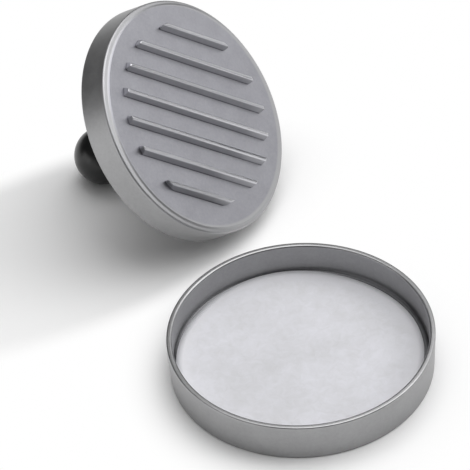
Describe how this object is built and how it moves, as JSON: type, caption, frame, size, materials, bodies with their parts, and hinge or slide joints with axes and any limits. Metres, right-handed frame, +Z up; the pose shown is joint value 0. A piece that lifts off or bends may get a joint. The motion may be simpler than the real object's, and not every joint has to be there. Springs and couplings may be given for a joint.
{
  "type": "patty press",
  "caption": "Round cast aluminium patty mould lined with wax paper, and a ribbed press plate with a black ball handle leaning beside it.",
  "frame": {"origin": "centre of the mould's underside, on the table", "axes": "+Z up, out of the mould; +X to the right and +Y away from the user, with the press leaning behind the mould on its left"},
  "size_m": [0.1598, 0.2326, 0.0964],
  "materials": {
    "cast_aluminium": "satin, fine blasted casting",
    "wax_paper": "matt waxed paper",
    "black_plastic": "polished phenolic",
    "brass": "turned",
    "steel": "zinc plated"
  },
  "bodies": {
    "mould": {"mould_dish": "cast_aluminium"},
    "paper": {"wax_paper": "wax_paper"},
    "press": {"press_plate": "cast_aluminium", "ball_handle": "black_plastic", "handle_insert": "brass", "handle_stud": "steel"}
  },
  "joints": [
    {"name": "paper_lift", "type": "slide", "parent": "mould", "child": "paper", "axis": [0, 0, 1], "range_m": [0, 0.05]},
    {"name": "press_lift", "type": "slide", "parent": "mould", "child": "press", "axis": [0.7036, -0.3409, 0.6235], "range_m": [0, 0.12]}
  ]
}
